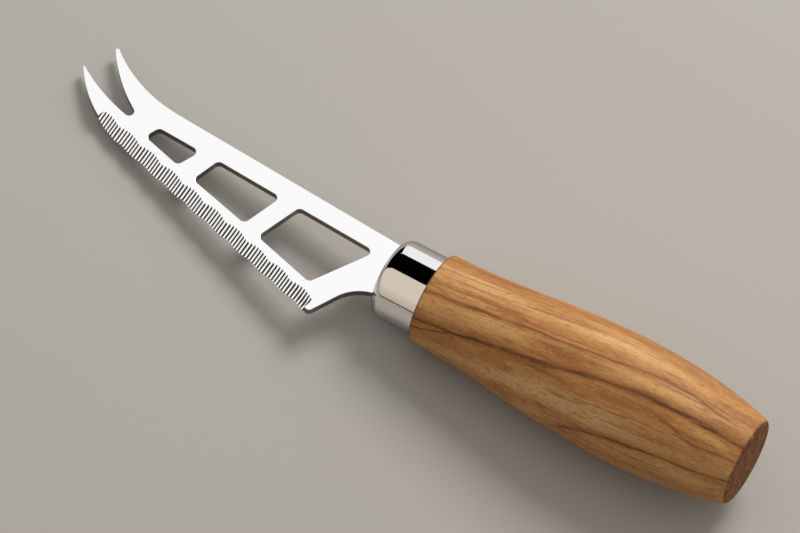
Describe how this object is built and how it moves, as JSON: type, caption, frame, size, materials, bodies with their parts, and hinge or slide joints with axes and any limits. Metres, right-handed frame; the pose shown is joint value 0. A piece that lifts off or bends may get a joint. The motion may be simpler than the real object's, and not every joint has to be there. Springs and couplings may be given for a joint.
{
  "type": "cheese knife",
  "caption": "Forked-tip cheese knife: windowed polished blade with a fluted edge, rounded steel ferrule and turned olive-wood barrel handle, for slicing soft cheese and lifting the slices.",
  "frame": {"origin": "centre of the flat butt of the handle, on the handle axis", "axes": "+X along the handle axis out of the butt, so the tip points to -X; the cutting edge faces -Y; +Z is the normal of the fluted blade face"},
  "size_m": [0.203, 0.0412, 0.0318],
  "materials": {
    "blade_steel": "polished",
    "ferrule_steel": "mirror polished",
    "olive_wood": "oiled satin",
    "epoxy": "cured adhesive"
  },
  "bodies": {
    "root": {"blade": "blade_steel", "ferrule": "ferrule_steel", "handle": "olive_wood", "tang_epoxy": "epoxy"}
  },
  "joints": []
}
